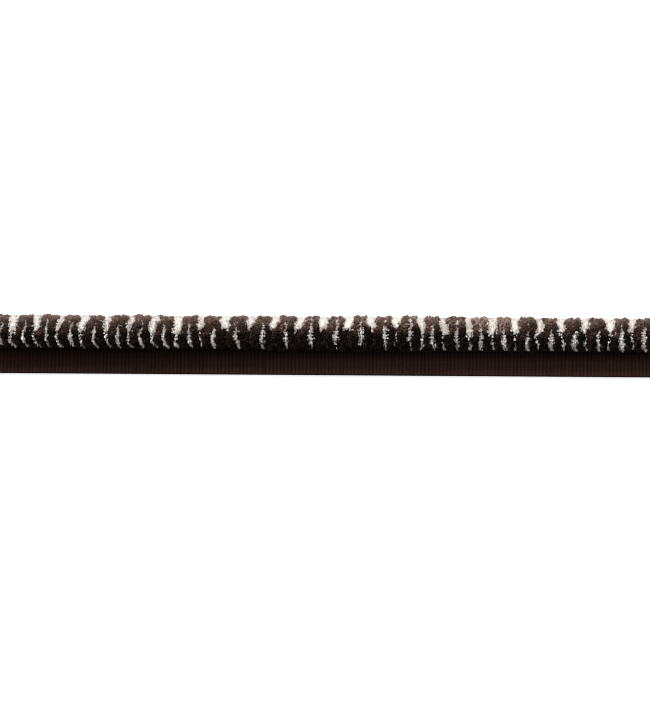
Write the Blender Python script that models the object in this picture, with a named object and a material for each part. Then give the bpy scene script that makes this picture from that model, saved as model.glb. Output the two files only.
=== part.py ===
"""A cut length of ruched trim: brown and cream pile locks side by side, stood on a ribbed flange tape.

The trim lies on its back. X runs along it, Y across it from the tape's free edge towards the ruche,
and Z up out of its face. All sizes are in metres.
"""
import random
from math import cos, pi, radians, sin

import bmesh
import bpy

MM = 0.001

# Driving sizes
LENGTH = 240 * MM
OVERALL_WIDTH = 20 * MM
RUCHE_WIDTH = 11.8 * MM
RUCHE_TOP = 10.8 * MM
TAPE_WIDTH = 17.5 * MM
TAPE_THICKNESS = 1.0 * MM
CLEARANCE = 0.3 * MM

# The tape's crosswise ribs
TAPE_RIBS = 190
RIB_RELIEF = 0.15 * MM

# The ruche: plump brown lobes in a row, with a cream lock in each groove between two of them.
# The grooves are tall and short in turn, so two lobes and two locks make one repeat of the stripe.
STRIPE_REPEAT = 8.14 * MM
GROOVE_PITCH = STRIPE_REPEAT / 2
GROOVES = 58
FIRST_GROOVE_X = -114.7 * MM
SHORT_GROOVE_SHIFT = 0.2 * MM
GROOVE_DEPTH = 2.0 * MM
SHOULDER_DROP = 0.7 * MM
SHOULDER_INSET = 0.11

# How uneven the row is: lobes stand proud, grooves stray, and the row is gathered closer here and there
MOST_RISE = 0.25 * MM
STRAY = 0.25 * MM
GATHER = 0.7 * MM
GATHER_LENGTH = 163 * MM
GATHER_START = -6 * MM

# The ruche's outline across the trim, an ellipse cut off flat where it stands on the tape
RUCHE_HALF_WIDTH = RUCHE_WIDTH / 2
RUCHE_HALF_HEIGHT = 4.9 * MM
RUCHE_CENTRE_Y = OVERALL_WIDTH / 2 - RUCHE_HALF_WIDTH
RUCHE_CENTRE_Z = RUCHE_TOP - RUCHE_HALF_HEIGHT
BASE_Z = TAPE_THICKNESS + CLEARANCE
BASE_FRONT_Y = 1.6 * MM
BASE_BACK_Y = 6.4 * MM

# Angles round that outline, in degrees: 180 faces the tape's free edge, 90 is up and 0 the far side
FRONT_ANGLE = 225
BACK_ANGLE = -48
ROUND_STATIONS = 11

# The narrow strip that holds the roots of the cream locks, under the front of the lobes
ROOT_STRIP_FRONT_Y = -0.5 * MM
ROOT_STRIP_BACK_Y = BASE_FRONT_Y - CLEARANCE
ROOT_STRIP_HEIGHT = 0.8 * MM
ROOT_DEPTH_IN_STRIP = 0.4 * MM
NOTCH_Z = BASE_Z + ROOT_STRIP_HEIGHT + CLEARANCE

# The stripes, a row for each angle: how wide a tall and a short groove are, how deep the short one is
# as a share of the full depth, and how far both lean along X
STRIPE_SHAPE = (
    (225, 1.5 * MM, 1.6 * MM, 1.00, 1.6 * MM),
    (180, 1.5 * MM, 1.7 * MM, 1.00, 1.2 * MM),
    (150, 1.5 * MM, 1.8 * MM, 1.00, 0.2 * MM),
    (115, 1.7 * MM, 1.7 * MM, 1.00, -0.6 * MM),
    (90, 2.0 * MM, 1.6 * MM, 0.85, -0.4 * MM),
    (70, 2.9 * MM, 1.2 * MM, 0.40, 0.0 * MM),
    (45, 3.5 * MM, 1.0 * MM, 0.20, 0.0 * MM),
    (0, 3.4 * MM, 1.0 * MM, 0.20, 0.0 * MM),
    (-48, 1.8 * MM, 1.0 * MM, 0.10, 0.0 * MM),
)
ANGLE, TALL_WIDTH, SHORT_WIDTH, SHORT_DEPTH, LEAN = range(5)
RIGHT_END_LEAN = 0.2
LEAN_FADE_AT_ENDS = 10 * MM

# The cream locks: where each kind ends, and how far its crest and its sides lie under the outline
TALL_TIP_ANGLE = -20
SHORT_TIP_ANGLE = 74
LEAST_STEP_TO_TIP = 5
CREST_DROP = 0.25 * MM
MOST_CREST_DROP = 0.3
SIDE_DROP = 0.7 * MM
MOST_SIDE_DROP = 0.6

BROWN = (0.070, 0.045, 0.036, 1)
CREAM = (0.760, 0.700, 0.630, 1)
TAPE_BROWN = (0.017, 0.010, 0.009, 1)
PILE_ROUGHNESS = 0.95
TAPE_ROUGHNESS = 0.80


def clear_scene():
    for thing in list(bpy.data.objects):
        bpy.data.objects.remove(thing)


def cloth_material(name, colour, roughness):
    material = bpy.data.materials.new(name)
    material.use_nodes = True
    shader = material.node_tree.nodes["Principled BSDF"]
    shader.inputs["Base Color"].default_value = colour
    shader.inputs["Roughness"].default_value = roughness
    shader.inputs["Metallic"].default_value = 0
    return material


def stripe_value(angle, column):
    """A column of STRIPE_SHAPE at any angle, straight between its rows."""
    for high, low in zip(STRIPE_SHAPE, STRIPE_SHAPE[1:]):
        if angle >= low[ANGLE]:
            share = (high[ANGLE] - angle) / (high[ANGLE] - low[ANGLE])
            return high[column] + share * (low[column] - high[column])
    return STRIPE_SHAPE[-1][column]


def outline_point(angle, depth):
    """Y and Z on the ruche's outline, so far under its surface."""
    turn = radians(angle)
    y = RUCHE_CENTRE_Y + (RUCHE_HALF_WIDTH - depth) * cos(turn)
    z = RUCHE_CENTRE_Z + (RUCHE_HALF_HEIGHT - depth) * sin(turn)
    return y, z


def round_angles():
    step = (FRONT_ANGLE - BACK_ANGLE) / (ROUND_STATIONS - 1)
    return [FRONT_ANGLE - i * step for i in range(ROUND_STATIONS)]


def lean_at(x, angle):
    """How far the stripes have moved along X here. They lean most at the left, and not at the cut ends."""
    along = (x + LENGTH / 2) / LENGTH
    strength = 1 + along * (RIGHT_END_LEAN - 1)
    from_end = LENGTH / 2 - abs(x)
    fade = min(1, from_end / LEAN_FADE_AT_ENDS)
    return stripe_value(angle, LEAN) * strength * fade


def is_cut_end(groove):
    return groove in (0, GROOVES + 1)


def is_tall(groove):
    return groove % 2 == 1


def groove_width(groove, angle):
    if is_cut_end(groove):
        return 0
    return stripe_value(angle, TALL_WIDTH if is_tall(groove) else SHORT_WIDTH)


def groove_depth(groove, angle):
    if is_cut_end(groove):
        return SHOULDER_DROP
    if is_tall(groove):
        return GROOVE_DEPTH
    return GROOVE_DEPTH * stripe_value(angle, SHORT_DEPTH)


def groove_places():
    """Where the middle of each groove lies along X, with the two cut ends as the first and the last."""
    chance = random.Random(3)
    places = [-LENGTH / 2]
    for groove in range(1, GROOVES + 1):
        x = FIRST_GROOVE_X + (groove - 1) * GROOVE_PITCH
        x += GATHER * sin(2 * pi * (x - GATHER_START) / GATHER_LENGTH)
        x += chance.uniform(-STRAY, STRAY)
        places.append(x if is_tall(groove) else x + SHORT_GROOVE_SHIFT)
    return places + [LENGTH / 2]


def groove_side(groove, angle, side, places):
    """X of a groove's left side, for side -1, of its middle, for 0, or of its right side, for 1."""
    return places[groove] + lean_at(places[groove], angle) + side * groove_width(groove, angle) / 2


def brown_ring(x_at, depth_at):
    """One ring round the brown body. x_at and depth_at give its place along X and its depth by angle."""
    ring = []
    for angle in round_angles():
        y, z = outline_point(angle, depth_at(angle))
        ring.append((x_at(angle), y, z))
    back_x = x_at(BACK_ANGLE)
    front_x = x_at(FRONT_ANGLE)
    ring.append((back_x, BASE_BACK_Y, BASE_Z))
    ring.append((front_x, BASE_FRONT_Y, BASE_Z))
    ring.append((front_x, BASE_FRONT_Y, NOTCH_Z))
    return ring


def lobe_rings(lobe, places, rise):
    """Five rings over one brown lobe: groove floor, shoulder, crest, shoulder, groove floor."""
    def across(share):
        def x_at(angle):
            left = groove_side(lobe, angle, 1, places)
            right = groove_side(lobe + 1, angle, -1, places)
            return left + share * (right - left)
        return x_at

    def level(depth):
        return lambda angle: depth

    def floor_of(groove):
        return lambda angle: max(SHOULDER_DROP, groove_depth(groove, angle))

    return [
        brown_ring(across(0), floor_of(lobe)),
        brown_ring(across(SHOULDER_INSET), level(SHOULDER_DROP)),
        brown_ring(across(0.5), level(rise)),
        brown_ring(across(1 - SHOULDER_INSET), level(SHOULDER_DROP)),
        brown_ring(across(1), floor_of(lobe + 1)),
    ]


def lock_half_width(groove, angle):
    return groove_width(groove, angle) / 2 - CLEARANCE


def cream_section(groove, angle, places):
    """The five corners of a cream lock at one angle: two over the groove's floor, and three outside."""
    groove_floor = groove_depth(groove, angle)
    floor = groove_floor - CLEARANCE
    side = min(SIDE_DROP, MOST_SIDE_DROP * groove_floor)
    crest = min(CREST_DROP, MOST_CREST_DROP * groove_floor)
    middle = groove_side(groove, angle, 0, places)
    half = lock_half_width(groove, angle)
    corners = ((-half, floor), (-half, side), (0, crest), (half, side), (half, floor))
    return [(middle + across, *outline_point(angle, drop)) for across, drop in corners]


def cream_root(groove, places):
    """The lock's lowest section, level and inside the strip that holds the roots."""
    middle = groove_side(groove, FRONT_ANGLE, 0, places)
    half = lock_half_width(groove, FRONT_ANGLE)
    z = BASE_Z + ROOT_DEPTH_IN_STRIP
    back = ROOT_STRIP_BACK_Y - ROOT_DEPTH_IN_STRIP
    front = ROOT_STRIP_FRONT_Y + ROOT_DEPTH_IN_STRIP
    corners = ((-half, back), (-half, front), (0, front), (half, front), (half, back))
    return [(middle + across, y, z) for across, y in corners]


def cream_lock_rings(groove, places):
    """A tall lock goes over the top and down the far side. A short one stops where the lobes meet over it."""
    tip = TALL_TIP_ANGLE if is_tall(groove) else SHORT_TIP_ANGLE
    angles = [angle for angle in round_angles() if angle > tip + LEAST_STEP_TO_TIP] + [tip]
    return [cream_root(groove, places)] + [cream_section(groove, angle, places) for angle in angles]


def add_loft(build, rings):
    """Skins rings of equal length into one closed body."""
    rows = [[build.verts.new(point) for point in ring] for ring in rings]
    for near, far in zip(rows, rows[1:]):
        for i in range(len(near)):
            j = (i + 1) % len(near)
            build.faces.new((near[i], near[j], far[j], far[i]))
    build.faces.new(list(reversed(rows[0])))
    build.faces.new(rows[-1])


def lofted_object(name, bodies, material, collection):
    """One object from one or more lists of rings."""
    build = bmesh.new()
    for rings in bodies:
        add_loft(build, rings)
    bmesh.ops.recalc_face_normals(build, faces=build.faces)
    mesh = bpy.data.meshes.new(name)
    build.to_mesh(mesh)
    build.free()
    mesh.materials.append(material)
    thing = bpy.data.objects.new(name, mesh)
    collection.objects.link(thing)
    return thing


def make_tape(collection, material):
    """The woven tape: flat underneath, with its crosswise ribs raised on top."""
    front = -OVERALL_WIDTH / 2
    back = front + TAPE_WIDTH
    half_rib = LENGTH / TAPE_RIBS / 2
    rings = []
    for i in range(2 * TAPE_RIBS + 1):
        x = -LENGTH / 2 + i * half_rib
        top = TAPE_THICKNESS - (RIB_RELIEF if i % 2 == 0 else 0)
        rings.append([(x, front, 0), (x, back, 0), (x, back, top), (x, front, top)])
    return lofted_object("flange_tape", [rings], material, collection)


def make_brown_ruche(collection, material, places):
    """The brown pile: one body of plump lobes, grooved where the cream locks lie."""
    chance = random.Random(7)
    rings = []
    for lobe in range(GROOVES + 1):
        rings.extend(lobe_rings(lobe, places, chance.uniform(0, MOST_RISE)))
    return lofted_object("brown_ruche", [rings], material, collection)


def make_cream_ruche(collection, guides, material, places):
    """The cream pile: one lock for each groove, all rooted in a narrow strip."""
    grooves = range(1, GROOVES + 1)
    locks = lofted_object("cream_locks", [cream_lock_rings(g, places) for g in grooves], material, guides)
    locks.hide_render = True
    locks.display_type = "WIRE"
    bpy.ops.mesh.primitive_cube_add(size=1)
    strip = bpy.context.active_object
    strip.name = "cream_ruche"
    strip.data.name = "cream_ruche"
    strip.scale = (LENGTH, ROOT_STRIP_BACK_Y - ROOT_STRIP_FRONT_Y, ROOT_STRIP_HEIGHT)
    strip.location = (0, (ROOT_STRIP_FRONT_Y + ROOT_STRIP_BACK_Y) / 2, BASE_Z + ROOT_STRIP_HEIGHT / 2)
    strip.data.materials.append(material)
    for old in strip.users_collection:
        old.objects.unlink(strip)
    collection.objects.link(strip)
    joined = strip.modifiers.new("locks", "BOOLEAN")
    joined.operation = "UNION"
    joined.solver = "EXACT"
    joined.object = locks
    return strip


def main():
    clear_scene()
    trim = bpy.data.collections.new("ruched_trim")
    guides = bpy.data.collections.new("guides")
    bpy.context.scene.collection.children.link(trim)
    bpy.context.scene.collection.children.link(guides)
    places = groove_places()
    make_tape(trim, cloth_material("tape", TAPE_BROWN, TAPE_ROUGHNESS))
    make_brown_ruche(trim, cloth_material("brown_pile", BROWN, PILE_ROUGHNESS), places)
    make_cream_ruche(trim, guides, cloth_material("cream_pile", CREAM, PILE_ROUGHNESS), places)


main()
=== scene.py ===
# A cut length of ruched trim: brown and cream pile locks on a ribbed flange tape, lying on its back.
# X runs along the trim, Y from the tape's free edge to the pile, and Z up out of its face. All in metres.
import math
import random

import bpy
import numpy as np
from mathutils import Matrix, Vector


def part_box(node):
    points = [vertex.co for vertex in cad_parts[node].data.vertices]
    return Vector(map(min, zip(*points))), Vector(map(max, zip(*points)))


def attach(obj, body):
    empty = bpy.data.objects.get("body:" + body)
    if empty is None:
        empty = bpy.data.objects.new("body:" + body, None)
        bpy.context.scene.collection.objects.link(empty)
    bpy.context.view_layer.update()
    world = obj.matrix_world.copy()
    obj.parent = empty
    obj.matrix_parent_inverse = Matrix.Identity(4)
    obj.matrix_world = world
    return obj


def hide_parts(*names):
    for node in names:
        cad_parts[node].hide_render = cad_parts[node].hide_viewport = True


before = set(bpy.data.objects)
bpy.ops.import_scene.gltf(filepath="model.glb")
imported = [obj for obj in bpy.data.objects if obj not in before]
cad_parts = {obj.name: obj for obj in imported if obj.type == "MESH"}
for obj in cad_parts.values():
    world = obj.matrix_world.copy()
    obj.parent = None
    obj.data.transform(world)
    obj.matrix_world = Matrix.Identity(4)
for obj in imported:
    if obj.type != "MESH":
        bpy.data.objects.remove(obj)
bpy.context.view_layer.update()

tapeLow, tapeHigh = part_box("flange_tape")
halfLength = tapeHigh[0]
mm = 0.001

# small helpers


def smoothStep(low, high, value):
    # 0 below low, 1 above high, and an S-shaped rise between them
    t = np.clip((value - low) / (high - low), 0, 1)
    return t * t * (3 - 2 * t)


def bell(middle, reach, value):
    # 1 at the middle, falling off to both sides: e to the power of minus (distance / reach) squared
    return np.exp(-((value - middle) / reach) ** 2)


def between(first, second, share):
    return first + (second - first) * share


def hashed(a, b, seed):
    # a fixed random number from 0 to 1 for each pair of whole numbers
    n = (a * 374761393 + b * 668265263 + seed * 1274126177) & 0xFFFFFFFF
    n = ((n ^ (n >> 13)) * 1274126177) & 0xFFFFFFFF
    return ((n ^ (n >> 16)) & 0xFFFFFF) / 0xFFFFFF


def softNoise(u, v, seed):
    # value noise: a random number at each whole place of (u, v), eased together between the four around
    a, b = np.floor(u).astype(np.int64), np.floor(v).astype(np.int64)
    s, t = smoothStep(0, 1, u - a), smoothStep(0, 1, v - b)
    low = hashed(a, b, seed) * (1 - s) + hashed(a + 1, b, seed) * s
    high = hashed(a, b + 1, seed) * (1 - s) + hashed(a + 1, b + 1, seed) * s
    return low * (1 - t) + high * t


def meshFromArrays(name, points, faces, uvs, smooth=True):
    # points (n, 3), faces (m, corners) and uvs (m, corners, 2) as whole arrays
    mesh = bpy.data.meshes.new(name)
    count, corners = faces.shape
    mesh.vertices.add(len(points))
    mesh.vertices.foreach_set("co", points.astype(np.float32).ravel())
    mesh.loops.add(count * corners)
    mesh.loops.foreach_set("vertex_index", faces.astype(np.int32).ravel())
    mesh.polygons.add(count)
    mesh.polygons.foreach_set("loop_start", np.arange(count, dtype=np.int32) * corners)
    mesh.polygons.foreach_set("use_smooth", np.full(count, smooth))
    layer = mesh.uv_layers.new(name="OFBake")
    layer.data.foreach_set("uv", uvs.astype(np.float32).ravel())
    mesh.update(calc_edges=True)
    return mesh


def addPiece(name, mesh, material, slotName, *nodes):
    piece = bpy.data.objects.new(name, mesh)
    bpy.context.scene.collection.objects.link(piece)
    mesh.materials.append(material)
    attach(piece, "root")
    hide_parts(*nodes)
    print(name, len(mesh.polygons), "faces")
    return piece


def loftMesh(name, rings, strips=1):
    # rings (bodies, stations, corners, 3): triangles between neighbouring rings, and a fan over each end.
    # Its map lays the length in so many strips, one above the other.
    bodies, stations, corners = rings.shape[:3]
    middles = rings[:, [0, -1]].mean(2)
    points = np.concatenate([rings.reshape(bodies, -1, 3), middles], 1)
    station, corner = np.meshgrid(np.arange(stations - 1), np.arange(corners), indexing="ij")
    after = (corner + 1) % corners
    a, b = station * corners + corner, station * corners + after
    c, d = b + corners, a + corners
    walls = np.stack([a, b, c, a, c, d], -1).reshape(-1, 3)
    perStrip = (stations - 1) / strips
    strip = station // perStrip
    left = (station - strip * perStrip) / perStrip
    u = np.stack([left, left, left + 1 / perStrip], -1)[..., [0, 1, 2, 0, 2, 2]]
    around = np.stack([corner, corner + 1, corner + 1, corner, corner + 1, corner], -1) / corners
    v = (strip[..., None] + 0.02 + 0.96 * around) / strips
    wallMap = np.stack([u, v], -1).reshape(-1, 3, 2)
    edge = np.arange(corners)
    low = np.stack([(edge + 1) % corners, edge, np.full(corners, stations * corners)], -1)
    high = np.stack([edge, (edge + 1) % corners, np.full(corners, stations * corners + 1)], -1)
    high[:, :2] += (stations - 1) * corners
    spread = np.stack([(edge + 1) / corners, edge / corners, (edge + 0.5) / corners], -1)
    lowMap = np.stack([spread * 0 + [0, 0, 0.01], (0.02 + 0.96 * spread) / strips], -1)
    highMap = np.stack([1 - spread * 0 - [0, 0, 0.01], 1 - (0.02 + 0.96 * spread) / strips], -1)
    faces = np.concatenate([walls, low, high])
    places = np.concatenate([wallMap, lowMap, highMap])
    shift = np.arange(bodies)[:, None, None] * points.shape[1]
    allFaces = (faces[None] + shift).reshape(-1, 3)
    allPlaces = np.tile(places, (bodies, 1, 1))
    return meshFromArrays(name, points.reshape(-1, 3), allFaces, allPlaces)


# camera

shot = {
    "pixels": (650, 722),
    "metresPerPixel": 0.342 * mm,
    "lens": 200,
    "sensor": 36,
    "clipEnd": 20,
    "aimY": -5.4 * mm,      # the trim lies a little above the picture's middle
    "roll": 0.39,           # degrees, and its right end lies a little lower
}


def makeCamera():
    # straight above, so far away that its sensor just holds the picture's height
    tall = shot["pixels"][1] * shot["metresPerPixel"]
    away = tall * shot["lens"] / shot["sensor"]
    data = bpy.data.cameras.new("camera")
    data.lens = shot["lens"]
    data.sensor_width = shot["sensor"]
    data.clip_end = shot["clipEnd"]
    camera = bpy.data.objects.new("camera", data)
    camera.location = (0, shot["aimY"], away)
    camera.rotation_euler = (0, 0, math.radians(shot["roll"]))
    bpy.context.scene.collection.objects.link(camera)
    bpy.context.scene.camera = camera
    print("camera", round(away, 3), "m above")


makeCamera()

# materials


def shaderNode(tree, kind, inputs=(), **settings):
    node = tree.nodes.new(kind)
    for key, value in settings.items():
        setattr(node, key, value)
    for key, value in dict(inputs).items():
        if isinstance(value, bpy.types.NodeSocket):
            tree.links.new(value, node.inputs[key])
        else:
            node.inputs[key].default_value = value
    return node


def calc(tree, operation, a, b=0.0, c=0.0):
    return shaderNode(tree, "ShaderNodeMath", {0: a, 1: b, 2: c}, operation=operation).outputs[0]


def blendColours(tree, share, first, second):
    node = shaderNode(tree, "ShaderNodeMix", {0: share, 6: first, 7: second}, data_type="RGBA")
    return node.outputs[2]


def newGroup(name, inputs, outputs):
    group = bpy.data.node_groups.new(name, "ShaderNodeTree")
    for label, kind, value in inputs:
        socket = group.interface.new_socket(name=label, in_out="INPUT", socket_type=kind)
        socket.default_value = value
    for label, kind in outputs:
        group.interface.new_socket(name=label, in_out="OUTPUT", socket_type=kind)
    return group, group.nodes.new("NodeGroupInput").outputs, group.nodes.new("NodeGroupOutput").inputs


def newMaterial(name, roughness, gloss):
    material = bpy.data.materials.new(name)
    material.use_nodes = True
    shader = material.node_tree.nodes["Principled BSDF"]
    shader.inputs["Roughness"].default_value = roughness
    shader.inputs["Specular IOR Level"].default_value = gloss
    return material, material.node_tree, shader


mapBands = 16       # the fibres' map has so many bands, one above the other: the higher, the warmer


def makeFibreShade():
    # the piece's map says all: across it runs the fibre's shade, painted light and shade included, and each
    # of its bands runs root to tip
    group, given, result = newGroup(
        "fibreShade",
        [
            ("Map", "NodeSocketVector", (0, 0, 0)),
            ("Dark", "NodeSocketColor", (0, 0, 0, 1)),
            ("Light", "NodeSocketColor", (1, 1, 1, 1)),
            ("Warm", "NodeSocketColor", (1, 1, 1, 1)),
            ("Root", "NodeSocketFloat", 0.5),
        ],
        [("Colour", "NodeSocketColor")],
    )
    parts = shaderNode(group, "ShaderNodeSeparateXYZ", {0: given["Map"]})
    bands = calc(group, "MULTIPLY", parts.outputs[1], mapBands)
    along = calc(group, "FRACT", bands)
    warmth = calc(group, "DIVIDE", calc(group, "FLOOR", bands), mapBands)
    shade = blendColours(group, parts.outputs[0], given["Dark"], given["Light"])
    warm = blendColours(group, parts.outputs[0], given["Dark"], given["Warm"])
    tinted = blendColours(group, warmth, shade, warm)
    # painted shade: each fibre darkens towards its root, deep in the pile where less light reaches
    aboveRoot = calc(group, "MULTIPLY", along, calc(group, "SUBTRACT", 1.0, given["Root"]))
    lit = calc(group, "ADD", given["Root"], aboveRoot)
    dimmed = shaderNode(group, "ShaderNodeVectorMath", {0: tinted, 3: lit}, operation="SCALE")
    group.links.new(dimmed.outputs[0], result["Colour"])
    return group


fibreShade = makeFibreShade()

brownPile = {
    "dark": (0.005, 0.0025, 0.0020, 1),
    "light": (0.610, 0.445, 0.372, 1),
    "warm": (0.525, 0.305, 0.220, 1),
    # painted shade: each fibre darkens towards its root
    "root": 0.40,                   # how bright a fibre's root is, against its tip
    "roughness": 0.95,
    "gloss": 0.03,
    "sheen": 0.03,
    "sheenSpread": 0.5,
    "sheenTint": (0.60, 0.48, 0.42, 1),
    "neat": 0.95,                   # the share of its fibres that don't stand out
    "unevenness": (1.0, 1.0),       # pairs hold over the crown and on the front
    "leaning": (0.50, 0.50),
    "tuftSwing": 1.5,
}
creamPile = {
    "dark": (0.42, 0.390, 0.372, 1),
    "light": (0.97, 0.935, 0.908, 1),
    "warm": (0.93, 0.88, 0.835, 1),
    # painted shade at the roots, less than the brown's
    "root": 0.88,
    "roughness": 0.95,
    "gloss": 0.10,
    "sheen": 0.05,
    "sheenSpread": 0.5,
    "sheenTint": (1.0, 0.97, 0.92, 1),
    "neat": 0.98,
    "unevenness": (0.4, 1.0),
    "leaning": (0.30, 0.10),
    # painted light and shade round the cream pile: how light its fibres are at each angle, darker over the
    # far side and low on the front
    "shadeAngles": (-60, 6, 16, 24, 32, 40, 50, 60, 67, 77, 105, 140),
    "paintedShades": (0.45, 0.40, 0.50, 0.68, 0.80, 0.85, 0.84, 0.69, 0.56, 0.90, 0.98, 0.74),
    "patchTone": (0.10, 0.20),
    "tuftTone": (0.08, 0.28),
    # painted shade at each tuft's rim and in the creases between its beads
    "paintedRimShade": (0.25, 0.45),
    "paintedCreaseShade": 0.7,
    "grain": 0.05,
}


def pileMaterial(name, look):
    material, tree, shader = newMaterial(name, look["roughness"], look["gloss"])
    uv = shaderNode(tree, "ShaderNodeUVMap", uv_map="OFBake")
    shade = tree.nodes.new("ShaderNodeGroup")
    shade.node_tree = fibreShade
    tree.links.new(uv.outputs[0], shade.inputs["Map"])
    for label in ("Dark", "Light", "Warm", "Root"):
        shade.inputs[label].default_value = look[label.lower()]
    tree.links.new(shade.outputs["Colour"], shader.inputs["Base Color"])
    shader.inputs["Sheen Weight"].default_value = look["sheen"]
    shader.inputs["Sheen Roughness"].default_value = look["sheenSpread"]
    shader.inputs["Sheen Tint"].default_value = look["sheenTint"]
    return material


brownMaterial = pileMaterial("brown_pile", brownPile)
creamMaterial = pileMaterial("cream_pile", creamPile)
print("pile materials")

# the pile's shape

pile = {
    "centreY": 4.1 * mm,
    "centreZ": 5.9 * mm,
    "halfWidth": 5.9 * mm,
    "halfHeight": 4.9 * mm,
    "frontAngle": 236,          # degrees: 180 faces the tape's free edge, 90 is up, 0 the far side
    "backAngle": -62,
    "meanRadius": 5.4 * mm,
    "endRound": 1.2 * mm,
    "endDrop": 0.8,
}
stripe = {
    # the odd stripes are tall: wide over the crown, with a thin tail down the front. The even ones are short
    "repeat": 8.14 * mm,
    "grooves": 58,
    "firstGroove": -114.7 * mm,
    "shortShift": 0.2 * mm,
    "stray": 0.25 * mm,
    "gather": 0.7 * mm,
    "gatherLength": 163 * mm,
    "gatherStart": -6 * mm,
    "leanAngles": (-48, 70, 90, 115, 150, 180, 225),
    "lean": (0, 0, -0.4 * mm, -0.6 * mm, 0.2 * mm, 1.2 * mm, 1.6 * mm),
    "rightEndLean": 0.2,
    "crownLeanPlaces": np.array([-111, -20, 20, 70, 111]) * mm,
    "crownLean": np.array([-0.8, -0.5, -0.2, 0.1, 0.6]) * mm,
    "crownAngles": (5, 80),
    "crownRest": 0.7,
    "leanFade": 10 * mm,
    "wander": 0.9 * mm,
    "tallWander": 0.7,
    "wanderLength": 3.2 * mm,
    "bead": 0.95 * mm,
    "tallBead": 0.3,            # so much longer
    "fray": 38,                 # degrees: how unevenly the tall stripes end
    "frayGrain": 0.62 * mm,
    "tallAngles": (-48, -20, 0, 20, 42, 64, 77, 86, 125, 145, 162, 225),
    "tallWidth": np.array([0.9, 2.2, 2.6, 2.6, 3.2, 3.2, 2.8, 0.95, 0.75, 0.45, 0.12, 0.1]) * mm,
    "taper": (77, 86),
    "closeAngles": (72, 80),
    "shortAngles": (55, 62, 75, 88, 110, 145, 165, 185, 225),
    "shortWidth": np.array([0, 1.0, 1.35, 1.50, 1.60, 1.55, 1.0, 0.5, 0.3]) * mm,
    "shortEndAngles": (130, 148),
    "crest": 1.0 * mm,
    "crestEase": 10,
}
drift = {
    # how the stripes change along the trim: a bell's middle and reach, or where a ramp starts and ends
    "middle": (5 * mm, 36 * mm),
    "tallWider": (60 * mm, 95 * mm),
    "shortWider": (-60 * mm, -20 * mm),
    "shortWidest": (20 * mm, 90 * mm),
    "shortSooner": (15 * mm, 34 * mm),
    "shortLater": (70 * mm, 24 * mm),
    "shortEnd": (10 * mm, 34 * mm),             # the short stripes end sooner there
    "closedLeft": (-50 * mm, -36 * mm),         # between the two the tall stripes' tails are hidden
    "closedRight": (34 * mm, 20 * mm),
    "crestedLeft": (-40 * mm, -18 * mm),        # between the two the short stripes reach up onto the crown
    "crestedRight": (72 * mm, 48 * mm),
    "chained": (-70 * mm, -10 * mm),            # the beads stand out less at the left
    "swollen": (16 * mm, 30 * mm),              # the pile is thicker right of the middle
    "swollenRight": (-60 * mm, -10 * mm),
    "taperPlaces": np.array([-111, -50, -40, 30, 38, 72, 82, 111]) * mm,
    "tallLater": (7, 6, -5, -5, 7, 6, 2, 2),
    "steepness": (0.5, 0.6, 3.0, 3.0, 0.55, 0.6, 1.5, 1.5),
}
own = {
    # each stripe's own values lie between these two
    "width": (0.85, 1.15),
    "tallWidth": (0.72, 1.08),
    "turn": (-7, 7),                            # degrees
    "crestStart": (16, 48),
    "tallChain": (0.7, 1.2),
    "lobeRise": (-0.12, 0.30),                  # mm
}


def groovePlaces():
    # evenly spaced, gathered closer here and there by a sine, and each a little astray
    chance = random.Random(3)
    places = [-halfLength]
    for groove in range(1, stripe["grooves"] + 1):
        x = stripe["firstGroove"] + (groove - 1) * stripe["repeat"] / 2
        x += stripe["gather"] * math.sin(2 * math.pi * (x - stripe["gatherStart"]) / stripe["gatherLength"])
        x += chance.uniform(-stripe["stray"], stripe["stray"])
        places.append(x + (stripe["shortShift"] if groove % 2 == 0 else 0))
    return np.array(places + [halfLength])


places = groovePlaces()
placeCount, tallOnes, shortOnes = len(places), np.s_[1::2], np.s_[::2]
tallPlaces, shortPlaces = places[tallOnes], places[shortOnes]
ownChance = np.random.default_rng(11)

# how wide each stripe is
grooveScale = ownChance.uniform(*own["width"], placeCount)
grooveScale[tallOnes] = ownChance.uniform(*own["tallWidth"], len(tallPlaces))
tallMiddle, shortMiddle = bell(*drift["middle"], tallPlaces), bell(*drift["middle"], shortPlaces)
grooveScale[tallOnes] *= 1 + 0.14 * tallMiddle + 0.14 * smoothStep(*drift["tallWider"], tallPlaces)
grooveScale[tallOnes] = np.maximum(grooveScale[tallOnes], 0.74 + 0.32 * tallMiddle)
grooveScale[shortOnes] *= 0.80 + 0.20 * smoothStep(*drift["shortWider"], shortPlaces) + 0.16 * shortMiddle
grooveScale[shortOnes] += 0.25 * smoothStep(*drift["shortWidest"], shortPlaces)

# how soon it narrows, in degrees, how much sooner on one side than on the other, and how steeply
grooveTurn = ownChance.uniform(*own["turn"], placeCount)
sideTurn = ownChance.uniform(*own["turn"], placeCount)
grooveTurn[shortOnes] += 15 * bell(*drift["shortSooner"], shortPlaces)
grooveTurn[shortOnes] -= 22 * bell(*drift["shortLater"], shortPlaces)
grooveTurn[tallOnes] -= np.interp(tallPlaces, drift["taperPlaces"], drift["tallLater"])
steepness = np.interp(places, drift["taperPlaces"], drift["steepness"])

# where its tail, its crest, its end and its beads show
closed = smoothStep(*drift["closedLeft"], places) * smoothStep(*drift["closedRight"], places)
crested = smoothStep(*drift["crestedLeft"], places) * smoothStep(*drift["crestedRight"], places)
crestStart = ownChance.uniform(*own["crestStart"], placeCount)
shortEnd = bell(*drift["shortEnd"], places)
chained = 0.45 + 0.55 * smoothStep(*drift["chained"], places)
chained[tallOnes] = ownChance.uniform(*own["tallChain"], len(tallPlaces)) * (0.4 + 0.6 * chained[tallOnes])

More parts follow.
